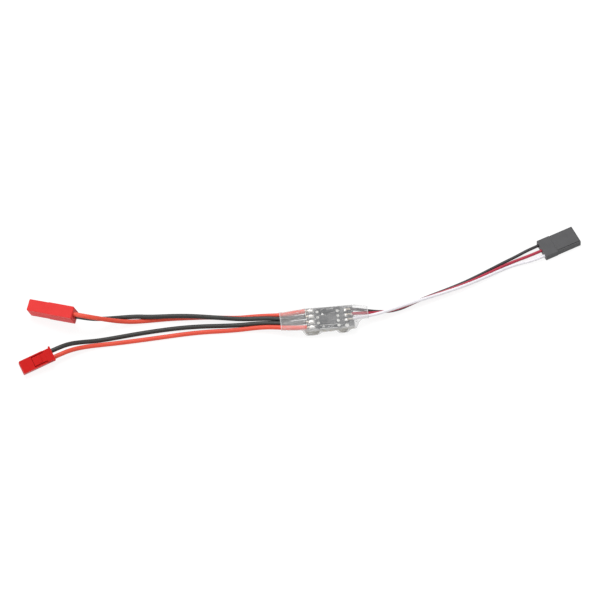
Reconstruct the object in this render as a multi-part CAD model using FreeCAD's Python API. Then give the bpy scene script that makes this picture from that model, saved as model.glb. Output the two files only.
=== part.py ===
import FreeCAD, Part
import math
import os
from FreeCAD import Placement, Rotation, Vector

# Brushed electronic speed controller for a small model, in millimetres.
# +X runs along the circuit board towards the receiver lead, +Z is up, and the
# table is z = 0. The origin is the middle of the heat-shrink sleeve's underside.

os.makedirs("parts", exist_ok=True)

# ---------------------------------------------------------------- driving sizes
# circuit board
BOARD_LENGTH = 17.4
BOARD_WIDTH = 9.8
BOARD_THICKNESS = 1.0
BOARD_CENTRE_X = 2.2
COPPER = 0.05

# heat-shrink sleeve
SLEEVE_WALL = 0.3
SLEEVE_SIDE_GAP = 0.2
SLEEVE_TOP_GAP = 1.4
SLEEVE_FLOOR_GAP = 0.15
SLEEVE_END_GAP = 0.9
SLEEVE_LENGTH = 32.8
SLEEVE_CORNER = 1.3
MOUTH_CORNER = 1.0
WIRE_MOUTH_WIDTH = 8.1
WIRE_MOUTH_HEIGHT = 2.9
SERVO_MOUTH_WIDTH = 6.5
SERVO_MOUTH_HEIGHT = 2.5
WIRE_MOUTH_Y = 1.1
SERVO_MOUTH_Y = 1.2
MOUTH_Z = 3.05

# power side of the board
POWER_WIRE_D = 1.7
POWER_CORE_D = 0.7
POWER_PITCH = 2.4
POWER_PAD_LENGTH = 2.6
POWER_PAD_WIDTH = 1.7
POWER_PAD_INSET = 0.3
POWER_TAIL_LENGTH = 3.2
SOLDER_WIDTH = 1.6
SOLDER_SHOULDER = 0.15
POWER_WIRE_X = -7.2

# receiver side of the board
SERVO_WIRE_D = 1.15
SERVO_CORE_D = 0.4
SERVO_PAD_PITCH = 2.2
SERVO_PAD_COUNT = 4
SERVO_PAD_FAR_Y = 2.7
SERVO_PAD_R = 0.75
SERVO_PAD_INSET = 2.8
SERVO_TAIL_LENGTH = 2.0
SERVO_TAIL_RISE = 0.75

# tallest parts under the board: they carry it
CAPACITOR_LENGTH = 6.0
CAPACITOR_WIDTH = 3.2
CAPACITOR_HEIGHT = 2.5
CAPACITOR_OVERHANG = 1.2
FILTER_LENGTH = 4.2
FILTER_WIDTH = 2.8
CHIP_LENGTH = 4.9
CHIP_WIDTH = 3.9
CHIP_HEIGHT = 1.45
CHIP_SPAN = 6.0
CONTROL_SIDE = 3.0
CONTROL_HEIGHT = 0.85
REGULATOR_LENGTH = 2.9
REGULATOR_WIDTH = 1.5
REGULATOR_HEIGHT = 1.1
REGULATOR_SPAN = 2.7

# two-way power plugs
POWER_PLUG_PITCH = 2.5
PLUG_WALL = 0.45
SOCKET_LENGTH = 12.8
SOCKET_WIDTH = 5.0
SOCKET_HEIGHT = 3.45
SHROUD_LENGTH = 18.0
SHROUD_DEPTH = 7.8
SHROUD_STEP = 0.2
MATING_GAP = 0.15
WIRE_ENTRY = 1.2
CRIMP_GAP = 0.05
WIRE_HOLE_GAP = 0.05
LATCH_LENGTH = 8.0
LATCH_WIDTH = 3.4
LATCH_THICKNESS = 0.5
LATCH_EAR = 0.4
EAR_LENGTH = 0.7
THUMB_PAD_LENGTH = 2.9
RAIL_WIDTH = 0.5

# three-way receiver plug
SERVO_PLUG_LENGTH = 14.5
SERVO_PLUG_WIDTH = 7.7
SERVO_PLUG_HEIGHT = 2.7
SERVO_PLUG_PITCH = 2.54
SERVO_PLUG_REAR = 5.0
SERVO_PLUG_STEP = 0.12
SERVO_PANEL_RIM = 0.45
SERVO_PANEL_RISE = 0.25
FINGER_LENGTH = 3.4
FINGER_WIDTH = 1.3
FINGER_THICKNESS = 0.4
FINGER_GAP = 0.12

# ------------------------------------------------- worked out from those above
SLEEVE_INNER_WIDTH = BOARD_WIDTH + 2 * SLEEVE_SIDE_GAP
SLEEVE_WIDTH = SLEEVE_INNER_WIDTH + 2 * SLEEVE_WALL
BOARD_BOTTOM = SLEEVE_WALL + SLEEVE_FLOOR_GAP + CAPACITOR_HEIGHT + COPPER
BOARD_TOP = BOARD_BOTTOM + BOARD_THICKNESS
SLEEVE_HEIGHT = BOARD_TOP + SLEEVE_TOP_GAP + SLEEVE_WALL
BOARD_LEFT = BOARD_CENTRE_X - BOARD_LENGTH / 2
BOARD_RIGHT = BOARD_CENTRE_X + BOARD_LENGTH / 2
SERVO_PAD_X = BOARD_RIGHT - SERVO_PAD_INSET
POWER_WIRE_Z = BOARD_TOP + COPPER + POWER_CORE_D / 2
POWER_YS = [POWER_PITCH * (1.5 - i) for i in range(4)]
SERVO_PAD_YS = [SERVO_PAD_FAR_Y - SERVO_PAD_PITCH * i for i in range(SERVO_PAD_COUNT)]
SHROUD_INNER_Y = SOCKET_HEIGHT + 2 * MATING_GAP
SHROUD_INNER_Z = SOCKET_WIDTH + 2 * MATING_GAP
SHROUD_THICKNESS = SHROUD_INNER_Y + 2 * PLUG_WALL
SHROUD_WIDTH = SHROUD_INNER_Z + 2 * PLUG_WALL

# ------------------------------------------------------- where the plugs lie
# A plug's own frame starts at the middle of the face that its wires enter;
# its +X points to the mating end.
BATTERY_PLUG = Placement(Vector(-91.78, 9.05, 6.97), Rotation(154.5, 11.0, -17.2))
MOTOR_PLUG = Placement(Vector(-101.55, -5.37, 4.32), Rotation(198.7, 8.0, -22.0))
SERVO_PLUG = Placement(Vector(83.46, 23.26, 1.37), Rotation(21.4, 0.0, 0.0))

# ------------------------------------------------------------- cord routes
# Each list runs from inside its plug to the solder joint inside the sleeve.
BATTERY_RED = [
    (-93.21, 9.32, 7.91), (-89.04, 7.33, 8.81), (-84.9, 6.5, 8.1), (-80.7, 6.7, 5.9),
    (-76.3, 7.2, 3.4), (-71.0, 7.5, 1.5), (-64.0, 7.8, 0.87), (-56.5, 7.85, 0.87),
    (-49.2, 7.4, 0.87), (-42.9, 7.15, 0.87), (-36.3, 6.6, 0.87), (-30.3, 6.2, 1.0),
    (-24.8, 5.6, 1.6), (-20.4, 4.75, 2.4), (-16.5, 3.75, 3.05), (-12.0, 3.5, 3.75),
    (-7.2, 3.6, 4.4)]
BATTERY_BLACK = [
    (-92.48, 9.79, 5.57), (-88.76, 8.02, 6.37), (-84.9, 7.5, 5.8), (-81.1, 8.3, 4.0),
    (-77.2, 9.3, 2.2), (-72.3, 10.0, 1.1), (-65.7, 9.9, 0.87), (-58.6, 9.8, 0.87),
    (-52.8, 9.3, 1.5), (-48.0, 8.1, 2.6), (-43.6, 6.4, 3.0), (-39.0, 5.3, 2.9),
    (-34.2, 4.5, 2.3), (-29.2, 4.1, 1.8), (-24.6, 3.75, 2.0), (-20.5, 2.95, 2.5),
    (-16.6, 2.0, 3.05), (-12.2, 1.4, 3.75), (-7.2, 1.2, 4.4)]
MOTOR_BLACK = [
    (-103.11, -4.44, 4.07), (-99.17, -3.1, 4.65), (-95.0, -1.3, 3.9), (-90.3, 0.0, 2.5),
    (-84.8, 0.9, 1.3), (-78.5, 1.7, 0.87), (-70.5, 2.6, 0.87), (-62.0, 3.3, 0.87),
    (-53.5, 3.7, 0.87), (-45.5, 3.4, 0.87), (-38.5, 2.7, 0.87), (-31.5, 2.2, 1.0),
    (-25.4, 1.9, 1.6), (-20.9, 1.15, 2.4), (-16.8, 0.2, 3.05), (-12.3, -0.75, 3.75),
    (-7.2, -1.2, 4.4)]
MOTOR_RED = [
    (-102.24, -6.59, 3.14), (-98.3, -5.26, 3.72), (-94.2, -3.4, 3.0), (-89.4, -1.9, 1.9),
    (-83.6, -1.0, 1.05), (-76.8, -0.7, 0.87), (-68.5, -0.3, 0.87), (-60.0, 0.2, 0.87),
    (-52.0, 0.65, 0.87), (-44.3, 0.75, 0.87), (-37.4, 0.35, 0.87), (-31.4, 0.2, 1.0),
    (-25.5, 0.05, 1.6), (-21.1, -0.6, 2.4), (-17.0, -1.6, 3.05), (-12.4, -2.75, 3.7),
    (-7.2, -3.6, 4.4)]

# The receiver lead is a flat three-core ribbon. Each point holds the middle core's
# place, the ribbon's roll in degrees (white edge up) and the distance between cores.
RIBBON = [
    (10.3, 0.5, 4.75, 0, 2.2), (13.4, 0.85, 4.2, 0, 1.6), (16.6, 1.2, 3.1, 5, 1.22),
    (20.4, 1.45, 2.6, 40, 1.22), (24.6, 2.2, 2.0, 70, 1.22), (29.3, 3.4, 1.8, 79, 1.22),
    (34.0, 5.3, 1.7, 64, 1.22), (39.6, 7.4, 1.54, 50, 1.22), (46.4, 9.7, 1.39, 40, 1.22),
    (54.0, 12.4, 1.22, 30, 1.22), (61.7, 15.6, 0.95, 16, 1.22), (69.2, 18.9, 0.74, 5, 1.3),
    (74.6, 20.6, 0.95, 0, 1.7), (79.36, 21.65, 1.37, 0, 2.54), (84.58, 23.7, 1.37, 0, 2.54)]


# ------------------------------------------------------------------- helpers
def save(node, shapes):
    """Write one sub-part, a single solid or a group of separate solids."""
    shape = shapes[0] if len(shapes) == 1 else Part.makeCompound(shapes)
    assert shape.isValid(), node
    shape.exportStep("parts/" + node + ".step")


def block(x0, x1, y0, y1, z0, z1):
    return Part.makeBox(x1 - x0, y1 - y0, z1 - z0, Vector(x0, y0, z0))


def centred_block(x0, x1, y, width, z, height):
    """A block whose width and height are centred on y and z."""
    return block(x0, x1, y - width / 2, y + width / 2, z - height / 2, z + height / 2)


def rod_x(x0, x1, y, z, radius):
    return Part.makeCylinder(radius, x1 - x0, Vector(x0, y, z), Vector(1, 0, 0))


def bevelled(solid, size, keep):
    """Chamfer the edges that keep(edge middle, edge direction) picks."""
    edges = []
    for edge in solid.Edges:
        ends = [v.Point for v in edge.Vertexes]
        if len(ends) == 2 and keep((ends[0] + ends[1]) / 2, ends[1] - ends[0]):
            edges.append(edge)
    return solid.makeChamfer(size, edges)


def rounded_rectangle(x, y, z, width, height, radius):
    """A closed wire in the plane of constant x, centred on y and z."""
    a = width / 2
    b = height / 2
    r = min(radius, 0.49 * min(width, height))
    s = r * (1 - math.sqrt(0.5))
    corners = [(a, b - r, a - s, b - s, a - r, b), (-a + r, b, -a + s, b - s, -a, b - r),
               (-a, -b + r, -a + s, -b + s, -a + r, -b), (a - r, -b, a - s, -b + s, a, -b + r)]
    edges = []
    for i, (y0, z0, y1, z1, y2, z2) in enumerate(corners):
        start = Vector(x, y + y0, z + z0)
        end = Vector(x, y + y2, z + z2)
        edges.append(Part.Arc(start, Vector(x, y + y1, z + z1), end).toShape())
        following = corners[(i + 1) % 4]
        edges.append(Part.LineSegment(end, Vector(x, y + following[0], z + following[1])).toShape())
    return Part.Wire(edges)


def smooth_path(points):
    """Straight runs joined by tangent arcs; returns the wire and its smallest radius."""
    points = [Vector(*p) for p in points]
    edges = []
    smallest = None
    start = points[0]
    for before, corner, after in zip(points, points[1:], points[2:]):
        incoming = (corner - before).normalize()
        outgoing = (after - corner).normalize()
        half_turn = incoming.getAngle(outgoing) / 2
        run = min((corner - before).Length, (after - corner).Length)
        setback = 0.45 * run
        radius = setback / math.tan(half_turn)
        smallest = radius if smallest is None else min(smallest, radius)
        first = corner - incoming * setback
        last = corner + outgoing * setback
        towards = (outgoing - incoming).normalize()
        middle = corner + towards * (radius / math.cos(half_turn) - radius)
        edges.append(Part.LineSegment(start, first).toShape())
        edges.append(Part.Arc(first, middle, last).toShape())
        start = last
    edges.append(Part.LineSegment(start, points[-1]).toShape())
    return Part.Wire(edges), smallest


def cord(node, points, diameter):
    """One cord's tube, with its radii and volume printed."""
    path, smallest = smooth_path(points)
    direction = Vector(*points[1]) - Vector(*points[0])
    circle = Part.makeCircle(diameter / 2, Vector(*points[0]), direction)
    tube = path.makePipeShell([Part.Wire([circle])], True, False)
    section = math.pi * diameter ** 2 / 4
    print("%-20s length %.2f  smallest radius %.2f (%.1f diameters)  volume/section %.4f"
          % (node, path.Length, smallest, smallest / diameter, tube.Volume / section / path.Length))
    save(node, [tube])


def core_route(side):
    """One core of the ribbon: side is +1 for black, 0 for red, -1 for white."""
    route = []
    for i, (x, y, z, roll, pitch) in enumerate(RIBBON):
        before = Vector(*RIBBON[max(i - 1, 0)][:3])
        after = Vector(*RIBBON[min(i + 1, len(RIBBON) - 1)][:3])
        along = after - before
        if i == len(RIBBON) - 2:
            along = after - Vector(x, y, z)
        across = Vector(-along.y, along.x, 0).normalize()
        offset = across * math.cos(math.radians(roll)) - Vector(0, 0, math.sin(math.radians(roll)))
        route.append(tuple(Vector(x, y, z) + offset * side * pitch))
    return route


# --------------------------------------------------------------- circuit board
VIA_R = 0.3
VIA_BORE_R = 0.16
VIA_PAD_R = 0.55
INK = 0.03
STROKE = 0.15
VIA_LEFT_X = BOARD_LEFT + 4.1
VIA_RIGHT_X = BOARD_RIGHT - 5.8
VIA_LEFT_YS = [BOARD_WIDTH * (0.316 - 0.25 * i) for i in range(3)]
VIA_RIGHT_YS = [BOARD_WIDTH * (0.296 - 0.22 * i) for i in range(4)]
VIA_PLACES = [(VIA_LEFT_X, y) for y in VIA_LEFT_YS] + [(VIA_RIGHT_X, y) for y in VIA_RIGHT_YS]


def circuit_board():
    board = block(BOARD_LEFT, BOARD_RIGHT, -BOARD_WIDTH / 2, BOARD_WIDTH / 2, BOARD_BOTTOM, BOARD_TOP)
    board = board.makeFillet(0.3, [e for e in board.Edges if abs(e.tangentAt(e.FirstParameter).z) > 0.9])
    for x, y in VIA_PLACES:
        board = board.cut(Part.makeCylinder(VIA_R, BOARD_THICKNESS, Vector(x, y, BOARD_BOTTOM)))
    return board


def plated_via(x, y):
    barrel = Part.makeCylinder(VIA_R, BOARD_THICKNESS, Vector(x, y, BOARD_BOTTOM))
    ring = Part.makeCylinder(VIA_PAD_R, COPPER, Vector(x, y, BOARD_TOP))
    bore = Part.makeCylinder(VIA_BORE_R, BOARD_THICKNESS + COPPER, Vector(x, y, BOARD_BOTTOM))
    return barrel.fuse(ring).cut(bore).removeSplitter()


def power_pad(y):
    x0 = BOARD_LEFT + POWER_PAD_INSET
    return block(x0, x0 + POWER_PAD_LENGTH, y - POWER_PAD_WIDTH / 2, y + POWER_PAD_WIDTH / 2,
                 BOARD_TOP, BOARD_TOP + COPPER)


def solder_mound(x, y, length, width, core):
    """A domed mound of solder, long or round, with the bare wire's channel cut out."""
    radius = width / 2
    base = BOARD_TOP + COPPER
    shoulder = base + SOLDER_SHOULDER
    ends = sorted({x - (length - width) / 2, x + (length - width) / 2})
    rounds = [Part.makeSphere(radius, Vector(end, y, shoulder)) for end in ends]
    rounds += [Part.makeCylinder(radius, SOLDER_SHOULDER, Vector(end, y, base)) for end in ends]
    if len(ends) == 2:
        rounds.append(rod_x(ends[0], ends[1], y, shoulder, radius))
        rounds.append(block(ends[0], ends[1], y - radius, y + radius, base, shoulder))
    mound = rounds[0].fuse(rounds[1:])
    below = block(x - length, x + length, y - width, y + width, base - width, base)
    return mound.cut([below, core]).removeSplitter()


def power_tail(y):
    """The tinned end of a power wire, lying over its pad."""
    x0 = POWER_WIRE_X + CRIMP_GAP
    return rod_x(x0, x0 + POWER_TAIL_LENGTH, y, POWER_WIRE_Z, POWER_CORE_D / 2)


def servo_tail(side):
    """The tinned end of one receiver core, lying over its pad."""
    x, y, z = core_route(side)[0]
    x1 = x - CRIMP_GAP
    return rod_x(x1 - SERVO_TAIL_LENGTH, x1, y, BOARD_TOP + SERVO_TAIL_RISE, SERVO_CORE_D / 2)


def legend_bar(x, y, length, width):
    """One printed stroke, centred on x and y."""
    return block(x - length / 2, x + length / 2, y - width / 2, y + width / 2, BOARD_TOP, BOARD_TOP + INK)


def board_legend():
    """Plain marks on the board: a pin-one triangle, plus and minus signs and bars."""
    near = -BOARD_WIDTH / 2
    x0 = VIA_LEFT_X + 1.3
    y0 = VIA_LEFT_YS[0] - 1.5
    corners = [Vector(x0 + dx, y0 + dy, BOARD_TOP) for dx, dy in [(0, 0), (1.1, 0), (0.55, 0.95), (0, 0)]]
    triangle = Part.Face(Part.makePolygon(corners)).extrude(Vector(0, 0, INK))
    middle = (VIA_LEFT_X + VIA_RIGHT_X) / 2
    plus_x = middle - 1.9
    plus_y = near + 1.22
    plus = legend_bar(plus_x, plus_y, 1.2, STROKE).fuse(legend_bar(plus_x, plus_y, STROKE, 1.2))
    minus = legend_bar(middle + 1.3, plus_y, 1.2, STROKE)
    rules = [legend_bar(middle, near + 0.45, 6.6, STROKE), legend_bar(middle, near + 2.0, 6.6, STROKE),
             legend_bar(middle + 1.0, -near - 0.9, 2.6, STROKE)]
    return [triangle, plus.removeSplitter(), minus] + rules


# --------------------------------------------------------- parts under the board
EDGE_MARGIN = 0.15
CAPACITOR_X = BOARD_LEFT - CAPACITOR_OVERHANG
CAPACITOR_Y = -BOARD_WIDTH / 2 + EDGE_MARGIN + CAPACITOR_WIDTH / 2
FILTER_X = BOARD_RIGHT - 6.3
FILTER_Y = -BOARD_WIDTH / 2 + EDGE_MARGIN + FILTER_WIDTH / 2
CHIP_GAP = 0.4
CHIP_Y = BOARD_WIDTH / 2 - 2 * EDGE_MARGIN - CHIP_SPAN / 2
CHIP_XS = [BOARD_LEFT + CHIP_GAP + CHIP_LENGTH / 2, BOARD_LEFT + 2 * CHIP_GAP + 1.5 * CHIP_LENGTH]
CONTROL_X = CHIP_XS[1] + CHIP_LENGTH / 2 + CHIP_GAP + CONTROL_SIDE / 2
CONTROL_Y = BOARD_WIDTH / 2 - 1.5 - CONTROL_SIDE / 2
REGULATOR_X = BOARD_RIGHT - 2 * EDGE_MARGIN - REGULATOR_SPAN / 2
REGULATOR_Y = BOARD_WIDTH / 2 - 1.2 - REGULATOR_LENGTH / 2


def tantalum(x0, y, length, width):
    """A moulded capacitor under the board, bevelled like its mould."""
    body = block(x0, x0 + length, y - width / 2, y + width / 2,
                 BOARD_BOTTOM - CAPACITOR_HEIGHT - COPPER, BOARD_BOTTOM - 2 * COPPER)
    low = BOARD_BOTTOM - CAPACITOR_HEIGHT
    return bevelled(body, 0.25, lambda middle, direction: middle.z < low)


def tantalum_terminals(x0, y, length, width):
    """The two flat clips between the capacitor and the board."""
    clip = min(1.3, 0.3 * length)
    z0 = BOARD_BOTTOM - 2 * COPPER
    return [block(x, x + clip, y - 0.35 * width, y + 0.35 * width, z0, BOARD_BOTTOM)
            for x in (max(x0, BOARD_LEFT), x0 + length - clip)]


def moulded_chip(x, y, length, width, height, lift):
    """A chip body hung under the board with a small gap above it."""
    top = BOARD_BOTTOM - lift
    body = block(x - length / 2, x + length / 2, y - width / 2, y + width / 2, top - height + lift, top)
    return bevelled(body, 0.12, lambda middle, direction: middle.z < top - height / 2)


def gull_lead(x, y_body, y_tip, width, height):
    """A lead bent from the chip's side to the board above it."""
    t = 0.18
    side = 1 if y_tip > y_body else -1
    z_exit = BOARD_BOTTOM - height / 2
    y_leg = y_body + side * 0.4
    outline = [(y_body, z_exit), (y_leg + side * t, z_exit), (y_leg + side * t, BOARD_BOTTOM - t),
               (y_tip, BOARD_BOTTOM - t), (y_tip, BOARD_BOTTOM), (y_leg, BOARD_BOTTOM),
               (y_leg, z_exit + t), (y_body, z_exit + t), (y_body, z_exit)]
    face = Part.Face(Part.makePolygon([Vector(x - width / 2, a, b) for a, b in outline]))
    return face.extrude(Vector(width, 0, 0))


def bridge_leads(x):
    leads = []
    for i in range(4):
        lead_x = x + 1.27 * (i - 1.5)
        for side in (-1, 1):
            leads.append(gull_lead(lead_x, CHIP_Y + side * CHIP_WIDTH / 2, CHIP_Y + side * CHIP_SPAN / 2,
                                   0.4, CHIP_HEIGHT))
    return leads


def control_pads():
    pads = []
    for i in range(4):
        offset = 0.5 * (i - 1.5)
        for side in (-1, 1):
            edge = side * (CONTROL_SIDE / 2 - 0.2)
            for dx, dy in ((offset, edge), (edge, offset)):
                x = CONTROL_X + dx
                y = CONTROL_Y + dy
                pads.append(block(x - 0.12, x + 0.12, y - 0.12, y + 0.12,
                                  BOARD_BOTTOM - COPPER, BOARD_BOTTOM))
    return pads


def turned_lead(y, x_side):
    """A regulator lead: the gull lead turned to face along the board."""
    half = REGULATOR_WIDTH / 2
    lead = gull_lead(0, half, REGULATOR_SPAN / 2, 0.38, REGULATOR_HEIGHT)
    lead.rotate(Vector(0, 0, 0), Vector(0, 0, 1), -90 * x_side)
    lead.translate(Vector(REGULATOR_X, y, 0))
    return lead


def regulator_leads():
    return ([turned_lead(REGULATOR_Y + 0.95 * i, 1) for i in (-1, 0, 1)]
            + [turned_lead(REGULATOR_Y + 0.95 * i, -1) for i in (-1, 1)])


# middle x, middle y of the small parts, in the space that the tall parts leave
SMALL_X = CAPACITOR_X + CAPACITOR_LENGTH + 1.1
NEAR_Y = -BOARD_WIDTH / 2
RESISTOR_PLACES = [(SMALL_X + 1.5 * i, NEAR_Y + 2.55 - 1.0 * j) for i in range(3) for j in range(2)]
CERAMIC_PLACES = [(SMALL_X + 0.3, NEAR_Y + 0.6), (SMALL_X + 2.7, NEAR_Y + 0.6),
                  (BOARD_RIGHT - 1.0, NEAR_Y + 3.3), (BOARD_RIGHT - 1.0, NEAR_Y + 1.5)]


def chip_part(x, y, length, width, height):
    """A small rectangular part: its body and its two metal ends."""
    end = 0.2 * length
    z0 = BOARD_BOTTOM - height
    body = block(x - length / 2 + end, x + length / 2 - end, y - width / 2, y + width / 2, z0, BOARD_BOTTOM)
    ends = [block(x - length / 2, x - length / 2 + end, y - width / 2, y + width / 2, z0, BOARD_BOTTOM),
            block(x + length / 2 - end, x + length / 2, y - width / 2, y + width / 2, z0, BOARD_BOTTOM)]
    return body, ends


# ---------------------------------------------------------------------- sleeve
def sleeve_run(grow):
    """The sleeve's solid, drawn in by grow all round for its inside."""
    z_mid = SLEEVE_HEIGHT / 2
    x_left = BOARD_LEFT - SLEEVE_END_GAP - CAPACITOR_OVERHANG
    x_right = BOARD_RIGHT + SLEEVE_END_GAP
    inside = 0.1 if grow > 0 else 0.0
    stations = [
        (-SLEEVE_LENGTH / 2 - inside, WIRE_MOUTH_Y, MOUTH_Z,
         WIRE_MOUTH_WIDTH, WIRE_MOUTH_HEIGHT, MOUTH_CORNER),
        (x_left, 0, z_mid, SLEEVE_WIDTH, SLEEVE_HEIGHT, SLEEVE_CORNER),
        (x_right, 0, z_mid, SLEEVE_WIDTH, SLEEVE_HEIGHT, SLEEVE_CORNER),
        (SLEEVE_LENGTH / 2 + inside, SERVO_MOUTH_Y, MOUTH_Z,
         SERVO_MOUTH_WIDTH, SERVO_MOUTH_HEIGHT, MOUTH_CORNER)]
    wires = [rounded_rectangle(x, y, z, w - 2 * grow, h - 2 * grow, r - grow)
             for x, y, z, w, h, r in stations]
    return [Part.makeLoft([a, b], True, True) for a, b in zip(wires, wires[1:])]


def heat_shrink_sleeve():
    outer = sleeve_run(0.0)
    inner = sleeve_run(SLEEVE_WALL)
    shell = outer[0].fuse(outer[1:])
    return shell.cut(inner[0].fuse(inner[1:])).removeSplitter()


# ------------------------------------------------------------------ power plugs
HOLE_R = POWER_WIRE_D / 2 + WIRE_HOLE_GAP
CRIMP_R = 0.7
CRIMP_LENGTH = 3.0
PIN_R = 0.5
CHAMBER = 1.9
CHAMBER_Z = -0.62
SOCKET_FLOOR_Z = 0.45


def battery_plug_housing():
    """The shrouded plug: its two circuits lie one above the other."""
    step = SHROUD_STEP
    rear = SHROUD_LENGTH - SHROUD_DEPTH
    body = centred_block(0, rear, 0, SHROUD_THICKNESS, 0, SHROUD_WIDTH)
    front = centred_block(rear, SHROUD_LENGTH, 0, SHROUD_THICKNESS - step, 0, SHROUD_WIDTH - step)
    body = bevelled(body, 0.25, lambda middle, direction: abs(middle.x) < 0.01)
    front = bevelled(front, 0.3, lambda middle, direction: middle.x > SHROUD_LENGTH - 0.01)
    body = body.fuse(front).removeSplitter()
    cavity = centred_block(rear + 0.2, SHROUD_LENGTH + 1, 0, SHROUD_INNER_Y, 0, SHROUD_INNER_Z)
    window = block(rear + 1.6, rear + 3.4, -SHROUD_THICKNESS, -SHROUD_INNER_Y / 2, -LATCH_WIDTH / 2,
                   LATCH_WIDTH / 2)
    body = body.cut([cavity, window])
    for side in (-1, 1):
        body = body.cut(rod_x(-1, rear + 1, 0, side * POWER_PLUG_PITCH / 2, HOLE_R))
    return body


def battery_plug_pin(side):
    """A crimped contact: barrel, collar and the pin inside the shroud."""
    z = side * POWER_PLUG_PITCH / 2
    rear = SHROUD_LENGTH - SHROUD_DEPTH
    barrel = rod_x(WIRE_ENTRY + CRIMP_GAP, WIRE_ENTRY + CRIMP_LENGTH, 0, z, CRIMP_R)
    collar = rod_x(WIRE_ENTRY + CRIMP_LENGTH, rear + 0.2, 0, z, HOLE_R - 0.02)
    pin = rod_x(rear + 0.2, SHROUD_LENGTH - 1.6, 0, z, PIN_R)
    tip = Part.makeSphere(PIN_R, Vector(SHROUD_LENGTH - 1.6, 0, z))
    return barrel.fuse([collar, pin, tip]).removeSplitter()


def motor_plug_housing():
    """The socket plug: a block with a lowered floor under its latch lever."""
    half_y = SOCKET_WIDTH / 2
    low = -SOCKET_HEIGHT / 2
    high = SOCKET_HEIGHT / 2
    body = block(0, SOCKET_LENGTH, -half_y, half_y, low, high)
    body = bevelled(body, 0.25, lambda middle, direction: middle.x > SOCKET_LENGTH - 0.01)
    trench = block(-1, LATCH_LENGTH, -half_y - 1, half_y + 1, SOCKET_FLOOR_Z, high + 1)
    rail_x = THUMB_PAD_LENGTH + 0.2
    rails = [centred_block(rail_x, LATCH_LENGTH, side * (half_y - RAIL_WIDTH / 2), RAIL_WIDTH,
                           (SOCKET_FLOOR_Z + high) / 2, high - SOCKET_FLOOR_Z) for side in (-1, 1)]
    body = body.cut(trench).fuse(rails).removeSplitter()
    for side in (-1, 1):
        y = side * POWER_PLUG_PITCH / 2
        body = body.cut(rod_x(-1, WIRE_ENTRY + CRIMP_LENGTH, y, CHAMBER_Z, HOLE_R))
        body = body.cut(centred_block(WIRE_ENTRY + CRIMP_LENGTH, SOCKET_LENGTH - 0.6, y, CHAMBER,
                                      CHAMBER_Z, CHAMBER))
        body = body.cut(rod_x(SOCKET_LENGTH - 1, SOCKET_LENGTH + 1, y, CHAMBER_Z, PIN_R + 0.15))
    return body


def motor_plug_contact(side):
    """A crimp barrel and a box spring with a bore for the pin."""
    y = side * POWER_PLUG_PITCH / 2
    crimp_end = WIRE_ENTRY + CRIMP_LENGTH
    barrel = rod_x(WIRE_ENTRY + CRIMP_GAP, crimp_end, y, CHAMBER_Z, CRIMP_R)
    box = centred_block(crimp_end, SOCKET_LENGTH - 0.7, y, CHAMBER - 0.1, CHAMBER_Z, CHAMBER - 0.1)
    bore = rod_x(crimp_end + 1.0, SOCKET_LENGTH, y, CHAMBER_Z, PIN_R + 0.02)
    return barrel.fuse(box).cut(bore).removeSplitter()


def motor_plug_latch():
    """The sprung lever over the trench: thumb pad, arm and catch."""
    high = SOCKET_HEIGHT / 2
    z0 = high - LATCH_THICKNESS
    arm = block(0.3, LATCH_LENGTH - 0.15, -LATCH_WIDTH / 2, LATCH_WIDTH / 2, z0, high)
    ear_y = SOCKET_WIDTH / 2 + LATCH_EAR
    ears = block(0.0, EAR_LENGTH, -ear_y, ear_y, z0, high + 0.25)
    pad_y = SOCKET_WIDTH / 2 - 0.1
    pad = block(0.3, THUMB_PAD_LENGTH, -pad_y, pad_y, z0, high + 0.1)
    catch = block(4.6, 6.0, -LATCH_WIDTH / 2 + 0.3, LATCH_WIDTH / 2 - 0.3, z0, high + 0.2)
    catch = bevelled(catch, 0.15, lambda middle, direction: middle.z > high)
    return arm.fuse([ears, pad, catch]).removeSplitter()


# --------------------------------------------------------------- receiver plug
SERVO_CHAMBER = 1.9
SERVO_CHAMBER_Z = 0.08
SERVO_HOLE_R = SERVO_WIRE_D / 2 + WIRE_HOLE_GAP
SERVO_CRIMP_R = 0.5
SERVO_CRIMP_END = 4.6
FINGER_X = 5.4
SERVO_BOX_END = SERVO_PLUG_LENGTH - 0.5


def servo_plug_ys():
    return [SERVO_PLUG_PITCH * (1 - i) for i in range(3)]


def servo_plug_housing():
    """A thin three-way housing: thicker where the wires enter, with a raised panel in front."""
    step = SERVO_PLUG_STEP
    low = -SERVO_PLUG_HEIGHT / 2
    front = block(SERVO_PLUG_REAR, SERVO_PLUG_LENGTH, -SERVO_PLUG_WIDTH / 2 + step,
                  SERVO_PLUG_WIDTH / 2 - step, low, -low - step)
    panel_y = SERVO_PLUG_WIDTH / 2 - step - SERVO_PANEL_RIM
    panel = block(SERVO_PLUG_REAR, SERVO_PLUG_LENGTH - SERVO_PANEL_RIM, -panel_y, panel_y, 0,
                  -low - step + SERVO_PANEL_RISE)
    rear = block(0, SERVO_PLUG_REAR, -SERVO_PLUG_WIDTH / 2, SERVO_PLUG_WIDTH / 2, low, -low)
    body = rear.fuse([front, panel]).removeSplitter()
    for y in servo_plug_ys():
        body = body.cut(rod_x(-1, SERVO_CRIMP_END, y, 0, SERVO_HOLE_R))
        body = body.cut(centred_block(SERVO_CRIMP_END, SERVO_BOX_END, y, SERVO_CHAMBER, SERVO_CHAMBER_Z,
                                      SERVO_CHAMBER))
        body = body.cut(centred_block(SERVO_BOX_END - 1, SERVO_PLUG_LENGTH + 1, y, 0.9,
                                      SERVO_CHAMBER_Z, 0.9))
        window = block(FINGER_X - FINGER_GAP, FINGER_X + FINGER_LENGTH + FINGER_GAP,
                       y - FINGER_WIDTH / 2 - FINGER_GAP, y + FINGER_WIDTH / 2 + FINGER_GAP,
                       low - 1, SERVO_CHAMBER_Z)
        body = body.cut(window)
    return body


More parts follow.
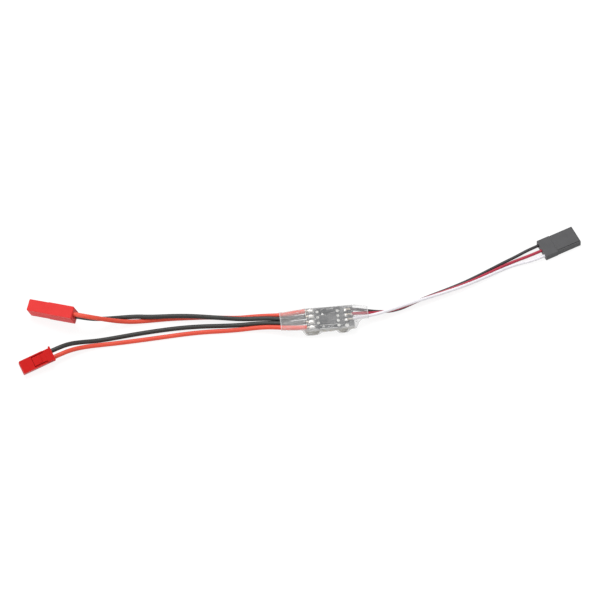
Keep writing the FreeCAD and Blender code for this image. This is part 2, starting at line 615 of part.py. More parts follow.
def servo_plug_contact(y):
    """A crimp barrel and a box that grips a square pin."""
    size = SERVO_CHAMBER - 0.3
    barrel = rod_x(WIRE_ENTRY + CRIMP_GAP, SERVO_CRIMP_END, y, 0, SERVO_CRIMP_R)
    box = centred_block(SERVO_CRIMP_END, SERVO_BOX_END - 0.1, y, size, SERVO_CHAMBER_Z, size)
    bore = centred_block(SERVO_CRIMP_END + 1.5, SERVO_PLUG_LENGTH, y, 0.7, SERVO_CHAMBER_Z, 0.7)
    return barrel.fuse(box).cut(bore).removeSplitter()


def servo_plug_finger(y):
    """One retaining tongue in the housing's underside."""
    low = -SERVO_PLUG_HEIGHT / 2 + 0.03
    return block(FINGER_X, FINGER_X + FINGER_LENGTH, y - FINGER_WIDTH / 2, y + FINGER_WIDTH / 2,
                 low, low + FINGER_THICKNESS)


# ----------------------------------------------------------------- write it all
def placed(shape, placement):
    shape = shape.copy()
    shape.Placement = placement.multiply(shape.Placement)
    return shape


def build_board():
    tails = [power_tail(y) for y in POWER_YS]
    save("circuit_board", [circuit_board()])
    save("plated_vias", [plated_via(x, y) for x, y in VIA_PLACES])
    save("power_pads", [power_pad(y) for y in POWER_YS])
    save("power_wire_tails", tails)
    mound_x = BOARD_LEFT + POWER_PAD_INSET + POWER_PAD_LENGTH / 2
    save("power_solder_joints", [solder_mound(mound_x, y, POWER_PAD_LENGTH, SOLDER_WIDTH, tail)
                                 for y, tail in zip(POWER_YS, tails)])
    save("servo_pads", [Part.makeCylinder(SERVO_PAD_R, COPPER, Vector(SERVO_PAD_X, y, BOARD_TOP))
                        for y in SERVO_PAD_YS])
    servo_tails = [servo_tail(side) for side in (1, 0, -1)]
    save("servo_wire_tails", servo_tails)
    save("servo_solder_joints", [solder_mound(SERVO_PAD_X, y, 2 * SERVO_PAD_R, 2 * SERVO_PAD_R, tail)
                                 for y, tail in zip(SERVO_PAD_YS, servo_tails)])
    save("board_legend", board_legend())


def build_underside():
    save("input_capacitor", [tantalum(CAPACITOR_X, CAPACITOR_Y, CAPACITOR_LENGTH, CAPACITOR_WIDTH)])
    save("filter_capacitor", [tantalum(FILTER_X, FILTER_Y, FILTER_LENGTH, FILTER_WIDTH)])
    save("capacitor_terminals",
         tantalum_terminals(CAPACITOR_X, CAPACITOR_Y, CAPACITOR_LENGTH, CAPACITOR_WIDTH)
         + tantalum_terminals(FILTER_X, FILTER_Y, FILTER_LENGTH, FILTER_WIDTH))
    for number, x in enumerate(CHIP_XS, 1):
        save("bridge_chip_%d" % number,
             [moulded_chip(x, CHIP_Y, CHIP_LENGTH, CHIP_WIDTH, CHIP_HEIGHT, 0.1)])
        save("bridge_leads_%d" % number, bridge_leads(x))
    save("control_chip",
         [moulded_chip(CONTROL_X, CONTROL_Y, CONTROL_SIDE, CONTROL_SIDE, CONTROL_HEIGHT, COPPER)])
    save("control_chip_pads", control_pads())
    save("regulator", [moulded_chip(REGULATOR_X, REGULATOR_Y, REGULATOR_WIDTH, REGULATOR_LENGTH,
                                    REGULATOR_HEIGHT, 0.1)])
    save("regulator_leads", regulator_leads())
    resistors = [chip_part(x, y, 1.0, 0.5, 0.35) for x, y in RESISTOR_PLACES]
    ceramics = [chip_part(x, y, 1.6, 0.8, 0.8) for x, y in CERAMIC_PLACES]
    save("chip_resistors", [body for body, ends in resistors])
    save("chip_capacitors", [body for body, ends in ceramics])
    save("chip_part_ends", [end for body, ends in resistors + ceramics for end in ends])


def build_cords():
    cord("battery_wire_red", BATTERY_RED, POWER_WIRE_D)
    cord("battery_wire_black", BATTERY_BLACK, POWER_WIRE_D)
    cord("motor_wire_black", MOTOR_BLACK, POWER_WIRE_D)
    cord("motor_wire_red", MOTOR_RED, POWER_WIRE_D)
    cord("servo_wire_black", core_route(1), SERVO_WIRE_D)
    cord("servo_wire_red", core_route(0), SERVO_WIRE_D)
    cord("servo_wire_white", core_route(-1), SERVO_WIRE_D)


def build_plugs():
    save("battery_plug_housing", [placed(battery_plug_housing(), BATTERY_PLUG)])
    save("battery_plug_pins", [placed(battery_plug_pin(side), BATTERY_PLUG) for side in (-1, 1)])
    save("motor_plug_housing", [placed(motor_plug_housing(), MOTOR_PLUG)])
    save("motor_plug_contacts", [placed(motor_plug_contact(side), MOTOR_PLUG) for side in (-1, 1)])
    save("motor_plug_latch", [placed(motor_plug_latch(), MOTOR_PLUG)])
    save("servo_plug_housing", [placed(servo_plug_housing(), SERVO_PLUG)])
    save("servo_plug_contacts", [placed(servo_plug_contact(y), SERVO_PLUG) for y in servo_plug_ys()])
    for number, y in enumerate(servo_plug_ys(), 1):
        save("servo_plug_finger_%d" % number, [placed(servo_plug_finger(y), SERVO_PLUG)])


build_board()
build_underside()
save("heat_shrink_sleeve", [heat_shrink_sleeve()])
build_cords()
build_plugs()
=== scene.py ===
# %% [markdown]
# # A small brushed speed controller and its leads
# The working parts were built to size elsewhere and packed as a fixed frame. This notebook gives them
# their looks: silicone wires, a printed ribbon lead, moulded plugs, a soldered board and the hazy
# heat-shrink film around it. Everything is in metres, and every piece sits where the frame says.

import math

import bmesh
import bpy
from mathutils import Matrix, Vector, noise
from mathutils.bvhtree import BVHTree


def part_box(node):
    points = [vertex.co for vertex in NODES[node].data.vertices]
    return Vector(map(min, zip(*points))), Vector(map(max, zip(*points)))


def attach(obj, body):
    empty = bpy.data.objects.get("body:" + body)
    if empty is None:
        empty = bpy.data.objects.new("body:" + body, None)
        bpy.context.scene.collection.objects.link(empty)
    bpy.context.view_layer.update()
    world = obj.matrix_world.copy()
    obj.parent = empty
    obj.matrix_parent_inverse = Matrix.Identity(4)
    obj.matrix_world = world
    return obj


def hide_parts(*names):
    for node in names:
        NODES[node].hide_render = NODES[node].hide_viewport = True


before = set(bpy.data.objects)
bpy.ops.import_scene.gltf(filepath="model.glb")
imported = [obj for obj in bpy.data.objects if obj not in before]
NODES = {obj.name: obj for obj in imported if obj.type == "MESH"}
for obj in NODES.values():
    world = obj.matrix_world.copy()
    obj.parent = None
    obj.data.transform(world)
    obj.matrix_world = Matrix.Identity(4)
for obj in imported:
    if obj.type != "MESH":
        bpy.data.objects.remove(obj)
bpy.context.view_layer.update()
MM = 0.001

# %% [markdown]
# ## Camera
# The set lies on a table and is seen from well above, from far off, so that it hardly tapers. A long
# lens at a distance does that. The view is turned a few degrees from the board's own length, which is
# why the board seems to climb to the right.

# %% Place the camera
VIEW_TURN = math.radians(6.0)
VIEW_HEIGHT = math.radians(56.4)
VIEW_CENTRE = Vector((-7.8, 11.7, 0.0)) * MM
VIEW_WIDTH = 222.2 * MM
LENS_MM = 1200.0
SENSOR_MM = 36.0

view_distance = VIEW_WIDTH * LENS_MM / SENSOR_MM
away = Vector((math.sin(VIEW_TURN), math.cos(VIEW_TURN), 0.0))
towards_camera = -away * math.cos(VIEW_HEIGHT) + Vector((0, 0, math.sin(VIEW_HEIGHT)))

camera_data = bpy.data.cameras.new("camera")
camera_data.lens = LENS_MM
camera_data.sensor_width = SENSOR_MM
camera_data.clip_end = 50.0
camera = bpy.data.objects.new("camera", camera_data)
camera.location = VIEW_CENTRE + towards_camera * view_distance
camera.rotation_euler = (-towards_camera).to_track_quat("-Z", "Y").to_euler()
bpy.context.scene.collection.objects.link(camera)
bpy.context.scene.camera = camera
bpy.context.scene.view_settings.view_transform = "Standard"
print("camera distance %.2f m" % view_distance)

# %% [markdown]
# ## Colours and nodes
# Colours are written as the sRGB hex values that a picker shows. The renderer works in linear light,
# so one function converts them. A second function adds a shader node, gives its sockets a value or a
# link, and sets its properties. Every material below is made with these two.

# %% Helpers for materials


def linear(hex_colour):
    """An sRGB hex colour as a linear RGBA tuple."""
    channels = [int(hex_colour[i : i + 2], 16) / 255 for i in (1, 3, 5)]
    return tuple(c / 12.92 if c <= 0.04045 else ((c + 0.055) / 1.055) ** 2.4 for c in channels) + (1.0,)


def add_node(tree, kind, inputs=None, **settings):
    """Add a node: settings are its properties, inputs are its sockets' values or links."""
    node = tree.nodes.new("ShaderNode" + kind)
    for key, value in settings.items():
        setattr(node, key, value)
    for key, value in (inputs or {}).items():
        if isinstance(value, bpy.types.NodeSocket):
            tree.links.new(value, node.inputs[key])
        else:
            node.inputs[key].default_value = value
    return node


def new_material(name):
    """A material with an empty node tree."""
    material = bpy.data.materials.new(name)
    material.use_nodes = True
    material.node_tree.nodes.clear()
    return material, material.node_tree


MIX_FACTOR, MIX_DARK, MIX_LIGHT, MIX_COLOUR = 0, 6, 7, 2  # a colour Mix node's sockets
NOISE_LOW, NOISE_HIGH = 0.3, 0.7  # a noise texture seldom leaves this range

# %% [markdown]
# ## Silicone rubber insulation
# The power wires have extruded silicone insulation: soft and slightly waxy, with a broad dull
# highlight and a little dust that clings to it. A slow change of tone runs along the wire, and the
# dust is a fine, shallow bump that also breaks up the gloss. Silicone's index is low, about 1.41.

# %% Silicone rubber
TONE_MM = 6.0  # how far apart the paler and darker stretches of a wire are
DUST_MM = 0.5  # finer dust would not show, so this is drawn a little coarse


def silicone_rubber(name, dark, light):
    """Extruded silicone: satin, dusty, a touch uneven in tone."""
    material, tree = new_material(name)
    place = add_node(tree, "TexCoord").outputs["Object"]
    tone = add_node(tree, "TexNoise", {"Vector": place, "Scale": 1 / (TONE_MM * MM), "Detail": 2.0})
    dust = add_node(tree, "TexNoise", {"Vector": place, "Scale": 1 / (DUST_MM * MM), "Detail": 4.0})
    colour = add_node(tree, "Mix", {MIX_FACTOR: tone.outputs[0], MIX_DARK: linear(dark),
                                    MIX_LIGHT: linear(light)}, data_type="RGBA")
    gloss = add_node(tree, "MapRange", {"Value": dust.outputs[0], "From Min": NOISE_LOW,
                                        "From Max": NOISE_HIGH, "To Min": 0.36, "To Max": 0.5})
    relief = add_node(tree, "Bump", {"Height": dust.outputs[0], "Distance": 0.02 * MM, "Strength": 0.5})
    shader = add_node(tree, "BsdfPrincipled", {
        "Base Color": colour.outputs[MIX_COLOUR], "Roughness": gloss.outputs[0],
        "Normal": relief.outputs[0], "IOR": 1.41})
    add_node(tree, "OutputMaterial", {"Surface": shader.outputs[0]})
    return material


red_silicone = silicone_rubber("red_silicone_rubber", "#dd4934", "#e85943")
black_silicone = silicone_rubber("black_silicone_rubber", "#252624", "#333432")
print("silicone in red and black")

# %% [markdown]
# ## PVC ribbon cores
# The receiver lead is three thin PVC cores side by side. PVC is harder and glossier than silicone,
# so its highlight is narrow, and its index is about 1.53. The tone hardly changes along the core.

# %% PVC insulation
CORE_TONE_MM = 5.0
CORE_GRAIN_MM = 0.3


def extruded_pvc(name, dark, light):
    """Extruded PVC: smooth, with a narrow highlight."""
    material, tree = new_material(name)
    place = add_node(tree, "TexCoord").outputs["Object"]
    tone = add_node(tree, "TexNoise", {"Vector": place, "Scale": 1 / (CORE_TONE_MM * MM), "Detail": 2.0})
    grain = add_node(tree, "TexNoise", {"Vector": place, "Scale": 1 / (CORE_GRAIN_MM * MM)})
    colour = add_node(tree, "Mix", {MIX_FACTOR: tone.outputs[0], MIX_DARK: linear(dark),
                                    MIX_LIGHT: linear(light)}, data_type="RGBA")
    relief = add_node(tree, "Bump", {"Height": grain.outputs[0], "Distance": 0.01 * MM, "Strength": 0.4})
    shader = add_node(tree, "BsdfPrincipled", {
        "Base Color": colour.outputs[MIX_COLOUR], "Roughness": 0.36, "Normal": relief.outputs[0],
        "IOR": 1.53})
    add_node(tree, "OutputMaterial", {"Surface": shader.outputs[0]})
    return material


black_pvc = extruded_pvc("black_pvc", "#1d191d", "#2a2429")
crimson_pvc = extruded_pvc("crimson_pvc", "#a81838", "#bb2444")
white_pvc = extruded_pvc("white_pvc", "#f0edf4", "#faf8fc")
print("ribbon cores in black, crimson and white")

# %% [markdown]
# ## Standing in for the frame
# Each new piece below replaces one node of the frame. It moves with a body, and the node it stands for is
# hidden, so one function says both.

# %% Stand in for a node


def stand_in(piece, node, body="controller"):
    """Put a piece in the scene, on its body, in the place of a frame node."""
    bpy.context.scene.collection.objects.link(piece)
    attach(piece, body)
    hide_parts(node)
    return piece


# %% [markdown]
# ## Cords
# A wire is a fixed length of something flexible, so it is a curve, not a chain of cylinders. Each
# route is a short list of control points, in millimetres, from the plug to the solder joint. A NURBS
# spline runs smoothly inside those points, and the curve's bevel gives it its thickness.

# %% Make a cord


def route_curve(name, points, diameter_mm):
    """A round cord along a NURBS spline, starting at the board."""
    curve = bpy.data.curves.new(name, "CURVE")
    curve.dimensions = "3D"
    curve.resolution_u = 10
    curve.bevel_depth = diameter_mm * MM / 2
    curve.bevel_resolution = 6
    curve.use_fill_caps = True
    spline = curve.splines.new("NURBS")
    spline.points.add(len(points) - 1)
    for point, place in zip(spline.points, reversed(points)):
        point.co = (place[0] * MM, place[1] * MM, place[2] * MM, 1.0)
    spline.order_u = 3
    spline.use_endpoint_u = True
    spline.use_smooth = True
    return bpy.data.objects.new(name, curve)


def cord_piece(node, points, diameter_mm, material):
    """A free cord that takes the place of its CAD tube."""
    piece = route_curve(node + "_line", points, diameter_mm)
    piece.data.materials.append(material)
    return stand_in(piece, node)


# %% [markdown]
# ## The four power wires
# The battery pair makes one lazy turn about itself: red lies over black near the plug, and black
# over red half-way along. The motor pair runs side by side. Both plugs hold their wires a few
# millimetres up, and the film holds them at board height, so each wire sags onto the table between.

# %% Power wires
POWER_WIRE_MM = 1.7

BATTERY_RED = [
    (-93.21, 9.32, 7.91), (-89.04, 7.33, 8.81), (-84.9, 6.5, 8.1), (-80.7, 6.7, 5.9),
    (-76.3, 7.2, 3.4), (-71.0, 7.5, 1.5), (-64.0, 7.8, 0.87), (-56.5, 7.85, 0.87),
    (-49.2, 7.45, 0.87), (-42.9, 7.1, 0.87), (-37.0, 6.2, 0.87), (-31.2, 5.45, 0.95),
    (-25.6, 5.1, 1.6), (-20.8, 4.45, 2.3), (-16.5, 3.7, 2.95), (-12.0, 3.5, 3.75),
    (-6.8, 3.6, 4.4)]
BATTERY_BLACK = [
    (-92.48, 9.79, 5.57), (-88.76, 8.02, 6.37), (-84.9, 7.5, 5.8), (-81.1, 8.3, 4.0),
    (-77.2, 9.2, 2.5), (-72.3, 9.4, 2.15), (-68.4, 9.2, 2.2), (-64.8, 8.4, 2.6),
    (-60.8, 8.1, 2.6), (-56.0, 7.82, 2.62), (-51.0, 7.35, 2.62), (-46.3, 6.75, 2.5),
    (-41.6, 6.0, 2.3), (-37.0, 5.2, 2.28), (-32.5, 4.4, 2.15), (-28.0, 3.8, 2.2),
    (-23.8, 3.25, 2.7), (-20.0, 2.65, 3.1), (-16.6, 1.95, 3.2), (-12.2, 1.4, 3.75),
    (-6.8, 1.2, 4.4)]
MOTOR_BLACK = [
    (-103.11, -4.44, 4.07), (-99.17, -3.1, 4.65), (-95.0, -1.3, 3.9), (-90.3, -0.1, 2.5),
    (-84.8, 0.6, 1.3), (-78.5, 1.4, 0.87), (-70.5, 2.3, 0.87), (-62.0, 3.0, 0.87),
    (-53.5, 3.4, 0.87), (-45.5, 3.25, 0.87), (-38.5, 2.7, 0.87), (-31.5, 2.2, 1.0),
    (-25.4, 1.9, 1.6), (-20.9, 1.15, 2.4), (-16.8, 0.2, 3.05), (-12.3, -0.75, 3.75),
    (-6.8, -1.2, 4.4)]
MOTOR_RED = [
    (-102.24, -6.59, 3.14), (-98.3, -5.26, 3.72), (-94.2, -3.4, 3.0), (-89.4, -1.95, 1.9),
    (-83.6, -1.15, 1.05), (-76.8, -0.9, 0.87), (-68.5, -0.5, 0.87), (-60.0, 0.0, 0.87),
    (-52.0, 0.5, 0.87), (-44.3, 0.65, 0.87), (-37.4, 0.35, 0.87), (-31.4, 0.2, 1.0),
    (-25.5, 0.05, 1.6), (-21.1, -0.6, 2.4), (-17.0, -1.6, 3.05), (-12.4, -2.75, 3.7),
    (-6.8, -3.6, 4.4)]

battery_red = cord_piece("battery_wire_red", BATTERY_RED, POWER_WIRE_MM, red_silicone)
battery_black = cord_piece("battery_wire_black", BATTERY_BLACK, POWER_WIRE_MM, black_silicone)
motor_black = cord_piece("motor_wire_black", MOTOR_BLACK, POWER_WIRE_MM, black_silicone)
motor_red = cord_piece("motor_wire_red", MOTOR_RED, POWER_WIRE_MM, red_silicone)
print("four power wires")

# %% [markdown]
# ## The receiver ribbon
# The three cores keep together as a flat strip that leaves the film level, rolls up onto its edge
# with the white core on top, and lies down flat again before it fans out into the plug. One list
# holds the middle core, the strip's roll and the distance between cores; the outer two follow it.

# %% Receiver lead
SERVO_WIRE_MM = 1.15

RIBBON = [
    (10.3, 0.5, 4.75, 0, 2.2), (13.4, 0.85, 4.2, 0, 1.6), (16.6, 1.2, 3.1, 5, 1.22),
    (20.4, 1.45, 2.6, 40, 1.22), (24.6, 2.2, 2.0, 70, 1.22), (29.3, 3.4, 1.8, 79, 1.22),
    (34.0, 5.15, 1.7, 64, 1.22), (39.6, 7.05, 1.54, 50, 1.22), (46.4, 9.15, 1.39, 40, 1.22),
    (54.0, 11.75, 1.22, 30, 1.22), (61.7, 15.1, 0.95, 16, 1.22), (69.2, 18.6, 0.74, 5, 1.3),
    (74.6, 20.4, 0.95, 0, 1.7), (79.36, 21.65, 1.37, 0, 2.54), (84.58, 23.7, 1.37, 0, 2.54)]


def core_route(side):
    """One core of the ribbon: side is +1 for black, 0 for red, -1 for white."""
    route = []
    for i, (x, y, z, roll, pitch) in enumerate(RIBBON):
        before = Vector(RIBBON[max(i - 1, 0)][:3])
        after = Vector(RIBBON[min(i + 1, len(RIBBON) - 1)][:3])
        along = after - before
        if i == len(RIBBON) - 2:
            along = after - Vector((x, y, z))
        across = Vector((-along.y, along.x, 0)).normalized()
        offset = across * math.cos(math.radians(roll)) - Vector((0, 0, math.sin(math.radians(roll))))
        route.append(tuple(Vector((x, y, z)) + offset * side * pitch))
    return list(reversed(route))


CORES = [("black", 1, black_pvc), ("red", 0, crimson_pvc), ("white", -1, white_pvc)]
servo_black, servo_red, servo_white = [
    cord_piece("servo_wire_" + colour, core_route(side), SERVO_WIRE_MM, material)
    for colour, side, material in CORES]
print("three ribbon cores")

# %% [markdown]
# ## Moulded plugs
# The frame's plug bodies have knife-sharp edges. A moulding never has: the tool's corners leave a
# small radius that catches the light. A copy of each body is merged, its flat faces are joined, and
# its edges are bevelled, and the copy then stands for the original.

# %% Soften a moulded body
SHARP_ANGLE = math.radians(35)  # an edge that turns more than this is rounded
FLAT_ANGLE = math.radians(1.0)


def softened(node, width_mm, material, body="controller"):
    """A copy of a CAD node with small rounded edges, which takes its place."""
    shape = bmesh.new()
    shape.from_mesh(NODES[node].data)
    bmesh.ops.remove_doubles(shape, verts=shape.verts, dist=1e-6)
    bmesh.ops.dissolve_limit(shape, angle_limit=FLAT_ANGLE, verts=shape.verts, edges=shape.edges)
    sharp = [e for e in shape.edges if len(e.link_faces) == 2 and e.calc_face_angle() > SHARP_ANGLE]
    bmesh.ops.bevel(shape, geom=sharp, offset=width_mm * MM, offset_type="OFFSET", segments=2,
                    profile=0.5, affect="EDGES", clamp_overlap=True, material=-1)
    for face in shape.faces:
        face.smooth = True
    mesh = bpy.data.meshes.new(node + "_moulding")
    shape.to_mesh(mesh)
    shape.free()
    mesh.materials.append(material)
    piece = bpy.data.objects.new(node + "_moulding", mesh)
    normals = piece.modifiers.new("weighted", "WEIGHTED_NORMAL")
    normals.keep_sharp = False
    return stand_in(piece, node, body)


# %% [markdown]
# ## Nylon
# The plugs are injection-moulded nylon. It has a soft satin gloss, faint flow marks along the
# moulding, and the fine texture that a spark-eroded tool leaves. The battery plug is a paler red than
# the motor plug, and the receiver plug is a dark grey that looks black beside the wires.

# %% Moulded nylon
FLOW_MM = 3.0
TOOL_GRAIN_MM = 0.18


def moulded_nylon(name, dark, light, smooth, rough, mirror):
    """Moulded nylon: satin, with flow marks and a fine tool texture."""
    material, tree = new_material(name)
    place = add_node(tree, "TexCoord").outputs["Object"]
    flow = add_node(tree, "TexNoise", {"Vector": place, "Scale": 1 / (FLOW_MM * MM), "Detail": 2.0})
    grain = add_node(tree, "TexNoise", {"Vector": place, "Scale": 1 / (TOOL_GRAIN_MM * MM)})
    colour = add_node(tree, "Mix", {MIX_FACTOR: flow.outputs[0], MIX_DARK: linear(dark),
                                    MIX_LIGHT: linear(light)}, data_type="RGBA")
    gloss = add_node(tree, "MapRange", {"Value": grain.outputs[0], "From Min": NOISE_LOW,
                                        "From Max": NOISE_HIGH, "To Min": smooth, "To Max": rough})
    relief = add_node(tree, "Bump", {"Height": grain.outputs[0], "Distance": 0.015 * MM, "Strength": 0.6})
    shader = add_node(tree, "BsdfPrincipled", {
        "Base Color": colour.outputs[MIX_COLOUR], "Roughness": gloss.outputs[0],
        "Normal": relief.outputs[0], "IOR": 1.53, "Specular IOR Level": mirror})
    add_node(tree, "OutputMaterial", {"Surface": shader.outputs[0]})
    return material


pale_red_nylon = moulded_nylon("pale_red_nylon", "#d63130", "#e13b39", 0.36, 0.52, 0.12)
deep_red_nylon = moulded_nylon("deep_red_nylon", "#c01715", "#d01c1a", 0.34, 0.5, 0.12)
dark_nylon = moulded_nylon("dark_grey_nylon", "#505051", "#5c5c5e", 0.42, 0.58, 0.2)

battery_parts = ["battery_plug_pins", softened("battery_plug_housing", 0.16, pale_red_nylon)]
motor_parts = ["motor_plug_contacts", softened("motor_plug_housing", 0.1, deep_red_nylon),
               softened("motor_plug_latch", 0.08, deep_red_nylon,
                        body="motor_plug_latch")]
servo_parts = ["servo_plug_contacts", softened("servo_plug_housing", 0.05, dark_nylon)]
for number in (1, 2, 3):
    finger = "servo_plug_finger_%d" % number
    servo_parts.append(softened(finger, 0.05, dark_nylon, body=finger))
print("three housings, a latch and three tongues softened")

# %% [markdown]
# ## The parts of each plug
# The lists above gather each plug's contacts and softened mouldings. Nothing here ties them to a cord.

# %% [markdown]
# ## Tinned and gold-flashed metal
# Pads, leads and contacts are copper alloy with a thin plating. Solder freezes with a bright skin
# that is slightly frosted where its grains met, tin plate is duller, and the contacts have a flash
# of gold. A metal keeps the shader's own index, and its colour is its reflection.

# %% Plated metals


def plated_metal(name, colour, smooth, rough, grain_mm):
    """Bare or plated metal: its frosting is a change of gloss with a slight relief."""
    material, tree = new_material(name)
    place = add_node(tree, "TexCoord").outputs["Object"]
    frost = add_node(tree, "TexNoise", {"Vector": place, "Scale": 1 / (grain_mm * MM), "Detail": 3.0})
    gloss = add_node(tree, "MapRange", {"Value": frost.outputs[0], "From Min": NOISE_LOW,
                                        "From Max": NOISE_HIGH, "To Min": smooth, "To Max": rough})
    relief = add_node(tree, "Bump", {"Height": frost.outputs[0], "Distance": 0.01 * MM, "Strength": 0.2})
    shader = add_node(tree, "BsdfPrincipled", {
        "Base Color": linear(colour), "Metallic": 1.0, "Roughness": gloss.outputs[0],
        "Normal": relief.outputs[0]})
    add_node(tree, "OutputMaterial", {"Surface": shader.outputs[0]})
    return material


solder = plated_metal("frosted_solder", "#e2e0dc", 0.18, 0.34, 0.3)
tin_plate = plated_metal("tin_plate", "#a6a6a3", 0.34, 0.5, 0.2)
gold_flash = plated_metal("gold_flashed_brass", "#d9b872", 0.2, 0.34, 0.25)
tinned_strands = plated_metal("tinned_strands", "#cfc4b4", 0.3, 0.45, 0.15)
print("four plated metals")

# %% [markdown]
# ## Board and chips
# The board is glass-epoxy laminate under black solder mask: satin, with copper tracks that show as
# faint raised bands. Chips, capacitors and marks are filled epoxy, ceramic or ink, which are flat
# and show only a fine mineral grain.

# %% Solder mask and filled epoxy
TRACK_MM = 1.3  # width of a copper band with its gap


def solder_mask(name, dark, light):
    """Mask over copper: faint square-cornered bands stand a little proud."""
    material, tree = new_material(name)
    place = add_node(tree, "TexCoord").outputs["Object"]
    tracks = add_node(tree, "TexBrick", {
        "Vector": place, "Scale": 1 / (TRACK_MM * MM), "Mortar Size": 0.05, "Mortar Smooth": 0.3,
        "Brick Width": 2.4, "Row Height": 1.0})
    colour = add_node(tree, "Mix", {MIX_FACTOR: tracks.outputs["Fac"], MIX_DARK: linear(light),
                                    MIX_LIGHT: linear(dark)}, data_type="RGBA")
    relief = add_node(tree, "Bump", {"Height": tracks.outputs["Fac"], "Distance": 0.03 * MM,
                                     "Strength": 0.6}, invert=True)
    shader = add_node(tree, "BsdfPrincipled", {
        "Base Color": colour.outputs[MIX_COLOUR], "Roughness": 0.38, "Normal": relief.outputs[0],
        "IOR": 1.5})
    add_node(tree, "OutputMaterial", {"Surface": shader.outputs[0]})
    return material


def filled_epoxy(name, dark, light, roughness, grain_mm):
    """Filled epoxy, ceramic or ink: flat, with a mineral grain."""
    material, tree = new_material(name)
    place = add_node(tree, "TexCoord").outputs["Object"]
    mineral = add_node(tree, "TexNoise", {"Vector": place, "Scale": 1 / (grain_mm * MM), "Detail": 5.0})
    colour = add_node(tree, "Mix", {MIX_FACTOR: mineral.outputs[0], MIX_DARK: linear(dark),
                                    MIX_LIGHT: linear(light)}, data_type="RGBA")
    relief = add_node(tree, "Bump", {"Height": mineral.outputs[0], "Distance": 0.01 * MM,
                                     "Strength": 0.5})
    shader = add_node(tree, "BsdfPrincipled", {
        "Base Color": colour.outputs[MIX_COLOUR], "Roughness": roughness, "Normal": relief.outputs[0],
        "IOR": 1.55})
    add_node(tree, "OutputMaterial", {"Surface": shader.outputs[0]})
    return material


black_mask = solder_mask("black_solder_mask", "#15171a", "#23272b")
chip_epoxy = filled_epoxy("chip_epoxy", "#1a1a1b", "#262628", 0.6, 0.12)
capacitor_epoxy = filled_epoxy("tantalum_capacitor_epoxy", "#77725f", "#888371", 0.5, 0.2)
ceramic = filled_epoxy("sintered_ceramic", "#9a7f5f", "#ab9070", 0.5, 0.1)
mark_ink = filled_epoxy("mark_ink", "#dcdcda", "#f0f0ee", 0.6, 0.1)
laminate_edge = filled_epoxy("cut_laminate_edge", "#8d8a78", "#9d9a88", 0.7, 0.15)
print("mask, four epoxies, ceramic and ink")

# %% [markdown]
# ## Which frame node has which finish
# Most small parts keep the frame's own shape, so each only needs its finish. The board needs two: the
# mask covers its faces, and its sawn rim shows bare laminate.

# %% Give the frame's parts their finish
CAD_FINISH = {
    "circuit_board": black_mask, "plated_vias": tin_plate, "power_pads": tin_plate,
    "servo_pads": tin_plate, "power_wire_tails": tinned_strands, "servo_wire_tails": tinned_strands,
    "board_legend": mark_ink, "capacitor_terminals": tin_plate, "bridge_chip_1": chip_epoxy,
    "bridge_chip_2": chip_epoxy, "bridge_leads_1": tin_plate, "bridge_leads_2": tin_plate,
    "control_chip": chip_epoxy, "control_chip_pads": tin_plate, "regulator": chip_epoxy,
    "regulator_leads": tin_plate, "chip_resistors": chip_epoxy, "chip_capacitors": ceramic,
    "chip_part_ends": tin_plate, "battery_plug_pins": gold_flash, "motor_plug_contacts": gold_flash,
    "servo_plug_contacts": gold_flash}
for node, material in CAD_FINISH.items():
    NODES[node].data.materials.clear()
    NODES[node].data.materials.append(material)
board_mesh = NODES["circuit_board"].data
board_mesh.materials.append(laminate_edge)
for face in board_mesh.polygons:
    if abs(face.normal.z) < 0.5:  # upright, so it is the rim
        face.material_index = 1
print(len(CAD_FINISH), "frame nodes have their finish")

# %% [markdown]
# ## Dipped capacitors
# The two capacitors under the board are dipped in epoxy, which draws back from every corner while it
# is wet. So each is a block of the frame's size whose ends are rounded most, underneath and on the
# near side, then its other edges. They make the two round swellings along the film's underside.

# %% Capacitors
CORNER_MM = 0.1  # corners this near to a face of the block lie on it


def dipped_block(node, end_mm, edge_mm):
    """A well rounded block of a CAD node's size, which takes its place."""
    low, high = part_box(node)
    shape = bmesh.new()
    bmesh.ops.create_cube(shape, size=1.0)
    for vert in shape.verts:
        vert.co = [low[axis] if vert.co[axis] < 0 else high[axis] for axis in range(3)]
    near = CORNER_MM * MM
    ends = [e for e in shape.edges if abs(e.verts[0].co.x - e.verts[1].co.x) < near
            and (max(v.co.z for v in e.verts) < low.z + near
                 or max(v.co.y for v in e.verts) < low.y + near)]
    bmesh.ops.bevel(shape, geom=ends, offset=end_mm * MM, offset_type="OFFSET", segments=8,
                    profile=0.5, affect="EDGES", clamp_overlap=True, material=-1)
    sharp = [e for e in shape.edges if e.calc_face_angle() > SHARP_ANGLE]
    bmesh.ops.bevel(shape, geom=sharp, offset=edge_mm * MM, offset_type="OFFSET", segments=4,
                    profile=0.5, affect="EDGES", clamp_overlap=True, material=-1)
    for face in shape.faces:
        face.smooth = True
    mesh = bpy.data.meshes.new(node + "_dipped")
    shape.to_mesh(mesh)
    shape.free()
    mesh.materials.append(capacitor_epoxy)
    return stand_in(bpy.data.objects.new(node + "_dipped", mesh), node)


capacitors = [dipped_block("input_capacitor", 1.8, 0.35), dipped_block("filter_capacitor", 1.6, 0.3)]
print(len(capacitors), "dipped capacitors")

# %% [markdown]
# ## Solder joints
# Melted solder wets the pad and climbs the strands, so a joint is a little hill that runs out along
# the wire, and no two are alike. The frame gives each joint as a few simple solids. A copy of them
# is rebuilt as one skin with a Remesh modifier, and smoothing lets the hollows fill, as they do
# when the metal is liquid.

# %% Solder joints


